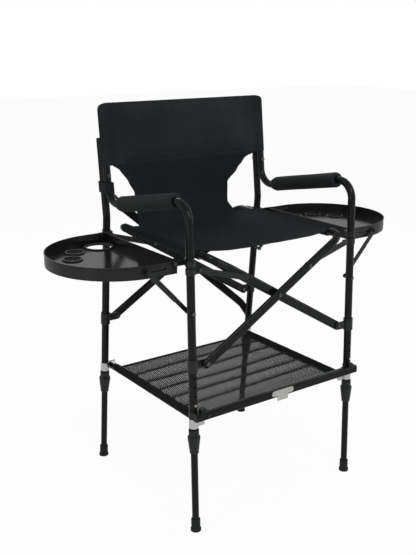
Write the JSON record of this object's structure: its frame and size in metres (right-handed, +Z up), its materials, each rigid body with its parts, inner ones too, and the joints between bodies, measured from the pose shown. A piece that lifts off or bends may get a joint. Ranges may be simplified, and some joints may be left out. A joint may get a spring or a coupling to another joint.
{
  "type": "folding make-up chair",
  "caption": "Tall folding make-up chair with a sling seat, padded back band, foam arm grips, fold-up side trays and a mesh footrest.",
  "frame": {"origin": "on the floor, below the centre of the bounding box", "axes": "+Z up, -Y is the side that the chair faces, +X to the viewer's right"},
  "size_m": [1.1178, 0.5621, 1.1189],
  "materials": {
    "tube_black": "glossy",
    "bracket_black": "satin",
    "bracket_silver": "satin",
    "bolt_steel": "satin",
    "snap_brass": "satin",
    "collar_plastic": "matte",
    "tray_plastic": "glossy",
    "foot_rubber": "matte",
    "grip_foam": "matte",
    "cloth_black": "matte",
    "net_grey": "matte"
  },
  "bodies": {
    "left_frame": {"left_front_tube": "tube_black", "left_back_tube": "tube_black", "left_arm_grip": "grip_foam", "left_end_caps": "collar_plastic", "left_collars": "collar_plastic", "left_hinge_sleeves": "bracket_black", "left_post_brackets": "bracket_black", "left_frame_bolts": "bolt_steel", "left_rest_brackets": "bracket_silver", "left_rest_rail": "tube_black", "back_panel": "cloth_black", "lower_back": "cloth_black", "footrest_mesh": "net_grey", "carry_strap": "cloth_black"},
    "right_frame": {"right_front_tube": "tube_black", "right_back_tube": "tube_black", "right_arm_grip": "grip_foam", "right_end_caps": "collar_plastic", "right_collars": "collar_plastic", "right_hinge_sleeves": "bracket_black", "right_post_brackets": "bracket_black", "right_frame_bolts": "bolt_steel", "right_rest_brackets": "bracket_silver", "right_rest_rail": "tube_black"},
    "scissor_a": {"scissor_a_frame": "tube_black", "scissor_a_bolts": "bolt_steel", "seat": "cloth_black"},
    "scissor_b": {"scissor_b_frame": "tube_black", "scissor_b_rivets": "bolt_steel"},
    "front_left_link_arm": {"front_left_link": "bracket_black"},
    "rear_left_link_arm": {"rear_left_link": "bracket_black"},
    "front_right_link_arm": {"front_right_link": "bracket_black"},
    "rear_right_link_arm": {"rear_right_link": "bracket_black"},
    "bar_left": {"footrest_bar_left": "tube_black", "footrest_hinge_plate": "bracket_silver"},
    "bar_right": {"footrest_bar_right": "tube_black"},
    "left_tray_unit": {"left_tray": "tray_plastic", "left_tray_rings": "tray_plastic", "left_slot_plates": "bracket_silver"},
    "left_front_stay_arm": {"left_front_stay": "bracket_black"},
    "left_rear_stay_arm": {"left_rear_stay": "bracket_black"},
    "right_tray_unit": {"right_tray": "tray_plastic", "right_tray_rings": "tray_plastic", "right_slot_plates": "bracket_silver"},
    "right_front_stay_arm": {"right_front_stay": "bracket_black"},
    "right_rear_stay_arm": {"right_rear_stay": "bracket_black"},
    "front_left_leg_slide": {"front_left_leg": "tube_black", "front_left_foot": "foot_rubber"},
    "front_left_snap": {"front_left_button": "snap_brass"},
    "front_right_leg_slide": {"front_right_leg": "tube_black", "front_right_foot": "foot_rubber"},
    "front_right_snap": {"front_right_button": "snap_brass"},
    "rear_left_leg_slide": {"rear_left_leg": "tube_black", "rear_left_foot": "foot_rubber"},
    "rear_left_snap": {"rear_left_button": "snap_brass"},
    "rear_right_leg_slide": {"rear_right_leg": "tube_black", "rear_right_foot": "foot_rubber"},
    "rear_right_snap": {"rear_right_button": "snap_brass"}
  },
  "joints": [
    {"name": "fold", "type": "hinge", "parent": "left_frame", "child": "scissor_a", "pos_m": [-0.24, 0, 0.479], "axis": [0, -1, 0], "range_deg": [0, 47], "deforming": ["back_panel", "lower_back", "footrest_mesh", "carry_strap", "seat"]},
    {"name": "cross", "type": "hinge", "parent": "scissor_a", "child": "scissor_b", "pos_m": [0, 0, 0.62321], "axis": [0, -1, 0], "range_deg": [-94, 0]},
    {"name": "right_frame_hinge", "type": "hinge", "parent": "scissor_b", "child": "right_frame", "pos_m": [0.24, 0, 0.479], "axis": [0, -1, 0], "range_deg": [0, 47]},
    {"name": "front_left_link_hinge", "type": "hinge", "parent": "left_frame", "child": "front_left_link_arm", "pos_m": [-0.2532, 0, 0.73], "axis": [0, -1, 0], "range_deg": [0, 89.01]},
    {"name": "rear_left_link_hinge", "type": "hinge", "parent": "left_frame", "child": "rear_left_link_arm", "pos_m": [-0.2532, 0, 0.73], "axis": [0, -1, 0], "range_deg": [0, 89.01]},
    {"name": "front_right_link_hinge", "type": "hinge", "parent": "right_frame", "child": "front_right_link_arm", "pos_m": [0.2532, 0, 0.73], "axis": [0, -1, 0], "range_deg": [-89.01, 0]},
    {"name": "rear_right_link_hinge", "type": "hinge", "parent": "right_frame", "child": "rear_right_link_arm", "pos_m": [0.2532, 0, 0.73], "axis": [0, -1, 0], "range_deg": [-89.01, 0]},
    {"name": "bar_left_hinge", "type": "hinge", "parent": "left_frame", "child": "bar_left", "pos_m": [-0.252, 0, 0.343], "axis": [0, -1, 0], "range_deg": [0, 77.67]},
    {"name": "bar_middle_hinge", "type": "hinge", "parent": "bar_left", "child": "bar_right", "pos_m": [0, 0, 0.3271], "axis": [0, -1, 0], "range_deg": [-155.33, 0]},
    {"name": "left_tray_hinge", "type": "hinge", "parent": "left_frame", "child": "left_tray_unit", "pos_m": [-0.311, 0, 0.751], "axis": [0, 1, 0], "range_deg": [0, 90]},
    {"name": "left_front_stay_hinge", "type": "hinge", "parent": "left_frame", "child": "left_front_stay_arm", "pos_m": [-0.28, 0, 0.621], "axis": [0, 1, 0], "range_deg": [0, 29.57]},
    {"name": "left_rear_stay_hinge", "type": "hinge", "parent": "left_frame", "child": "left_rear_stay_arm", "pos_m": [-0.28, 0, 0.621], "axis": [0, 1, 0], "range_deg": [0, 29.57]},
    {"name": "right_tray_hinge", "type": "hinge", "parent": "right_frame", "child": "right_tray_unit", "pos_m": [0.311, 0, 0.751], "axis": [0, -1, 0], "range_deg": [0, 90]},
    {"name": "right_front_stay_hinge", "type": "hinge", "parent": "right_frame", "child": "right_front_stay_arm", "pos_m": [0.28, 0, 0.621], "axis": [0, -1, 0], "range_deg": [0, 29.57]},
    {"name": "right_rear_stay_hinge", "type": "hinge", "parent": "right_frame", "child": "right_rear_stay_arm", "pos_m": [0.28, 0, 0.621], "axis": [0, -1, 0], "range_deg": [0, 29.57]},
    {"name": "front_left_leg_travel", "type": "slide", "parent": "left_frame", "child": "front_left_leg_slide", "axis": [0, 0.0262, 0.9997], "range_m": [0, 0.0762], "deforming": ["front_left_button"]},
    {"name": "front_left_button_press", "type": "slide", "parent": "front_left_leg_slide", "child": "front_left_snap", "axis": [0, 0.9997, -0.0262], "range_m": [0, 0.003], "stiffness_N_per_m": 400},
    {"name": "front_right_leg_travel", "type": "slide", "parent": "right_frame", "child": "front_right_leg_slide", "axis": [0, 0.0262, 0.9997], "range_m": [0, 0.0762], "deforming": ["front_right_button"]},
    {"name": "front_right_button_press", "type": "slide", "parent": "front_right_leg_slide", "child": "front_right_snap", "axis": [0, 0.9997, -0.0262], "range_m": [0, 0.003], "stiffness_N_per_m": 400},
    {"name": "rear_left_leg_travel", "type": "slide", "parent": "left_frame", "child": "rear_left_leg_slide", "axis": [0, -0.0941, 0.9956], "range_m": [0, 0.0762], "deforming": ["rear_left_button"]},
    {"name": "rear_left_button_press", "type": "slide", "parent": "rear_left_leg_slide", "child": "rear_left_snap", "axis": [0, -0.9956, -0.0941], "range_m": [0, 0.003], "stiffness_N_per_m": 400},
    {"name": "rear_right_leg_travel", "type": "slide", "parent": "right_frame", "child": "rear_right_leg_slide", "axis": [0, -0.0941, 0.9956], "range_m": [0, 0.0762], "deforming": ["rear_right_button"]},
    {"name": "rear_right_button_press", "type": "slide", "parent": "rear_right_leg_slide", "child": "rear_right_snap", "axis": [0, -0.9956, -0.0941], "range_m": [0, 0.003], "stiffness_N_per_m": 400}
  ],
  "couplings": [
    {"joint": "cross", "follows": "fold", "ratio": -2},
    {"joint": "right_frame_hinge", "follows": "fold", "ratio": 1},
    {"joint": "front_left_link_hinge", "follows": "fold", "ratio": 1.8897},
    {"joint": "rear_left_link_hinge", "follows": "fold", "ratio": 1.8897},
    {"joint": "front_right_link_hinge", "follows": "fold", "ratio": -1.8897},
    {"joint": "rear_right_link_hinge", "follows": "fold", "ratio": -1.8897},
    {"joint": "bar_left_hinge", "follows": "fold", "ratio": 1.6482},
    {"joint": "bar_middle_hinge", "follows": "fold", "ratio": -3.2964},
    {"joint": "left_front_stay_hinge", "follows": "left_tray_hinge", "ratio": 0.3263},
    {"joint": "left_rear_stay_hinge", "follows": "left_tray_hinge", "ratio": 0.3263},
    {"joint": "right_front_stay_hinge", "follows": "right_tray_hinge", "ratio": 0.3263},
    {"joint": "right_rear_stay_hinge", "follows": "right_tray_hinge", "ratio": 0.3263}
  ]
}
